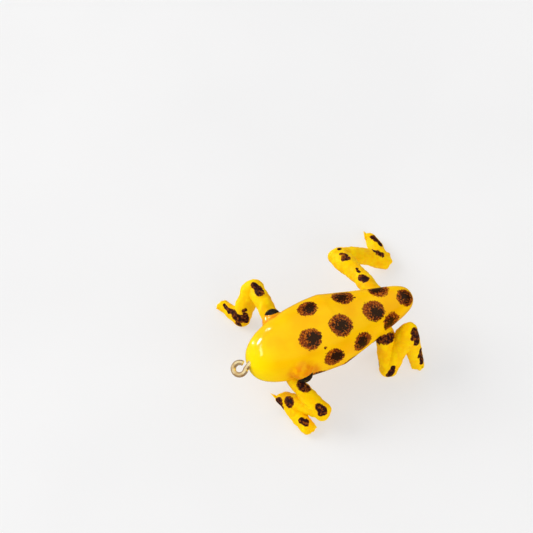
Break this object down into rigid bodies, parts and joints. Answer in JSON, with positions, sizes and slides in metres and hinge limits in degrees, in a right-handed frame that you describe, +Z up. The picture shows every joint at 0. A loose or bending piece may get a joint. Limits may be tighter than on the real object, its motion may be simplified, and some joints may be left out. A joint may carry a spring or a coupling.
{
  "type": "frog fishing lure",
  "caption": "Handmade frog fishing lure: a carved, resin-coated body on a single bent hook, with bead eyes and bendable rubber legs that turn at shoulder, elbow, wrist, hip, knee and ankle.",
  "frame": {"origin": "centre of the bounding box at its base, the level the hands and feet stand on", "axes": "+Y from the nose towards the tail, along the hook shank; +Z up through the back; +X out of the frog's left side"},
  "size_m": [0.0438, 0.0488, 0.0194],
  "materials": {
    "painted_resin": "gloss clear resin over yellow paint with brown spots",
    "sleeve_rubber": "satin, with brown marker blotches",
    "foam": "matt carved foam",
    "filler": "matt epoxy",
    "hook_steel": "bronzed, bright",
    "soft_wire": "bare",
    "thread": "waxed thread",
    "bead_black": "gloss"
  },
  "bodies": {
    "frog_body": {"hook": "hook_steel", "tying_thread": "thread", "foam_core": "foam", "belly_filler": "filler", "resin_coat": "painted_resin", "left_eye": "bead_black", "right_eye": "bead_black", "front_leg_wire": "soft_wire", "hind_leg_wire": "soft_wire"},
    "left_front_upper_arm": {"left_front_upper_arm": "sleeve_rubber", "left_front_upper_arm_wire": "soft_wire"},
    "left_front_forearm": {"left_front_forearm": "sleeve_rubber", "left_front_forearm_wire": "soft_wire"},
    "left_front_hand": {"left_front_hand": "sleeve_rubber", "left_front_hand_wire": "soft_wire"},
    "right_front_upper_arm": {"right_front_upper_arm": "sleeve_rubber", "right_front_upper_arm_wire": "soft_wire"},
    "right_front_forearm": {"right_front_forearm": "sleeve_rubber", "right_front_forearm_wire": "soft_wire"},
    "right_front_hand": {"right_front_hand": "sleeve_rubber", "right_front_hand_wire": "soft_wire"},
    "left_hind_thigh": {"left_hind_thigh": "sleeve_rubber", "left_hind_thigh_wire": "soft_wire"},
    "left_hind_shin": {"left_hind_shin": "sleeve_rubber", "left_hind_shin_wire": "soft_wire"},
    "left_hind_foot": {"left_hind_foot": "sleeve_rubber", "left_hind_foot_wire": "soft_wire"},
    "right_hind_thigh": {"right_hind_thigh": "sleeve_rubber", "right_hind_thigh_wire": "soft_wire"},
    "right_hind_shin": {"right_hind_shin": "sleeve_rubber", "right_hind_shin_wire": "soft_wire"},
    "right_hind_foot": {"right_hind_foot": "sleeve_rubber", "right_hind_foot_wire": "soft_wire"}
  },
  "joints": [
    {"name": "left_front_shoulder", "type": "hinge", "parent": "frog_body", "child": "left_front_upper_arm", "pos_m": [0.01156, -0.01204, 0.0088], "axis": [0, 0, 1], "range_deg": [-15, 10]},
    {"name": "left_front_elbow", "type": "hinge", "parent": "left_front_upper_arm", "child": "left_front_forearm", "pos_m": [0.02006, -0.00884, 0.0058], "axis": [0.417, -0.8741, 0.2492], "range_deg": [0, 40]},
    {"name": "left_front_wrist", "type": "hinge", "parent": "left_front_forearm", "child": "left_front_hand", "pos_m": [0.01176, -0.01394, 0.0018], "axis": [-0.1875, 0.7767, -0.6013], "range_deg": [0, 45]},
    {"name": "right_front_shoulder", "type": "hinge", "parent": "frog_body", "child": "right_front_upper_arm", "pos_m": [-0.00174, -0.00974, 0.0093], "axis": [0, 0, 1], "range_deg": [-20, 20]},
    {"name": "right_front_elbow", "type": "hinge", "parent": "right_front_upper_arm", "child": "right_front_forearm", "pos_m": [-0.01414, -0.00979, 0.00965], "axis": [-0.0158, 0.903, -0.4295], "range_deg": [-15, 45]},
    {"name": "right_front_wrist", "type": "hinge", "parent": "right_front_forearm", "child": "right_front_hand", "pos_m": [-0.01264, -0.01364, 0.0015], "axis": [0.3241, -0.831, 0.4522], "range_deg": [-15, 45]},
    {"name": "left_hind_hip", "type": "hinge", "parent": "frog_body", "child": "left_hind_thigh", "pos_m": [0.00946, 0.01146, 0.0112], "axis": [0, 0, 1], "range_deg": [-20, 8]},
    {"name": "left_hind_knee", "type": "hinge", "parent": "left_hind_thigh", "child": "left_hind_shin", "pos_m": [0.01336, 0.01086, 0.0015], "axis": [-0.7451, 0.5766, -0.3352], "range_deg": [0, 35]},
    {"name": "left_hind_ankle", "type": "hinge", "parent": "left_hind_shin", "child": "left_hind_foot", "pos_m": [0.01266, 0.01606, 0.012], "axis": [0.9738, -0.1714, 0.1498], "range_deg": [0, 45]},
    {"name": "right_hind_hip", "type": "hinge", "parent": "frog_body", "child": "right_hind_thigh", "pos_m": [0.00166, 0.01396, 0.0119], "axis": [0, 0, 1], "range_deg": [-25, 12]},
    {"name": "right_hind_knee", "type": "hinge", "parent": "right_hind_thigh", "child": "right_hind_shin", "pos_m": [-0.01494, 0.01151, 0.0083], "axis": [-0.2537, 0.5234, 0.8135], "range_deg": [-15, 45]},
    {"name": "right_hind_ankle", "type": "hinge", "parent": "right_hind_shin", "child": "right_hind_foot", "pos_m": [-0.01404, 0.02236, 0.0016], "axis": [0.0351, -0.5272, -0.849], "range_deg": [-15, 45]}
  ]
}
